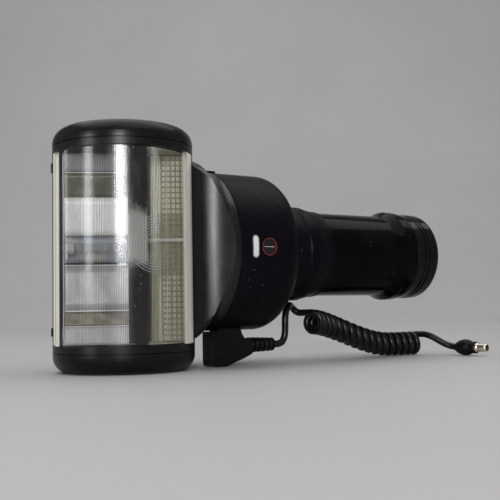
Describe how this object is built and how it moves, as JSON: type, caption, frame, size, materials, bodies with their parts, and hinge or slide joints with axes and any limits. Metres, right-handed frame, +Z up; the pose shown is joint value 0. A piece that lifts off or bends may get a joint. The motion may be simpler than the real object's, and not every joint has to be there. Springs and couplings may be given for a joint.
{
  "type": "studio strobe",
  "caption": "Compact studio strobe: a turning drum-shaped lamp head with a ribbed lens, a round barrel, a battery grip with a twist-off cap, and a curly sync cord.",
  "frame": {"origin": "centre of the lower cap's flat underside, on the axis of the head", "axes": "+Z up along the axis of the head, +X along the grip away from the head, -Y towards the side with the lamp window and the test button"},
  "size_m": [0.217, 0.0803, 0.107],
  "materials": {
    "body_plastic": "black satin with a faint grain",
    "head_plastic": "black satin",
    "grip_plastic": "black gloss",
    "button_plastic": "black gloss",
    "window_plastic": "milky white, smooth",
    "red_plastic": "red, smooth",
    "inner_plastic": "dark moulded",
    "board": "green lacquer",
    "can_sleeve": "dark blue sleeve",
    "tape_yellow": "yellow tape",
    "lamp_glass": "small neon lamp",
    "carrier_plastic": "light grey moulded",
    "cell_can": "sleeved cells",
    "contact_metal": "plated springy sheet",
    "spindle_metal": "turned",
    "lens_clear": "clear acrylic with fine upright ribs inside",
    "reflector_bright": "bright folded sheet",
    "cream_plastic": "cream, satin",
    "tube_glass": "clear glass tube",
    "seal_rubber": "black",
    "plug_plastic": "black satin",
    "pin_metal": "pale plated metal",
    "cord_rubber": "black, slightly glossy"
  },
  "bodies": {
    "housing": {"saddle": "body_plastic", "rear_barrel": "body_plastic", "collar": "body_plastic", "grip_tube": "grip_plastic", "top_pad": "body_plastic", "lamp_window": "window_plastic", "button_bezel": "red_plastic", "sync_socket": "inner_plastic", "circuit_board": "board", "board_switches": "inner_plastic", "capacitor": "can_sleeve", "transformer": "tape_yellow", "ready_lamp": "lamp_glass", "battery_carrier": "carrier_plastic", "battery_cells": "cell_can", "contact_plates": "contact_metal", "head_spindle": "spindle_metal", "plug_body": "plug_plastic", "plug_pins": "pin_metal", "strain_relief": "cord_rubber", "cord_lead": "cord_rubber", "cord_coil": "cord_rubber", "cord_tail": "cord_rubber", "pc_grip": "plug_plastic", "pc_sleeve": "pin_metal", "pc_pin": "pin_metal"},
    "head": {"head_shell": "head_plastic", "cap_top": "body_plastic", "cap_bottom": "body_plastic", "lens": "lens_clear", "reflector": "reflector_bright", "side_panel": "cream_plastic", "divider": "head_plastic", "flash_tube": "tube_glass", "tube_ends": "contact_metal", "shell_clips": "head_plastic"},
    "button": {"test_button": "button_plastic"},
    "switch": {"power_switch": "button_plastic"},
    "rear_cap": {"end_cap": "grip_plastic", "cap_seal": "seal_rubber", "contact_spring": "contact_metal"}
  },
  "joints": [
    {"name": "head_tilt", "type": "hinge", "parent": "housing", "child": "head", "pos_m": [0, 0, 0.0535], "axis": [0, 0, 1], "range_deg": [-66, 24]},
    {"name": "button_press", "type": "slide", "parent": "housing", "child": "button", "axis": [0, 1, 0], "range_m": [0, 0.0012], "stiffness_N_per_m": 400, "springref_m": -0.0005},
    {"name": "power_slide", "type": "slide", "parent": "housing", "child": "switch", "axis": [1, 0, 0], "range_m": [0, 0.004]},
    {"name": "end_cap_turn", "type": "hinge", "parent": "housing", "child": "rear_cap", "pos_m": [0.1556, 0, 0.0535], "axis": [1, 0, 0], "range_deg": [0, 45]}
  ]
}
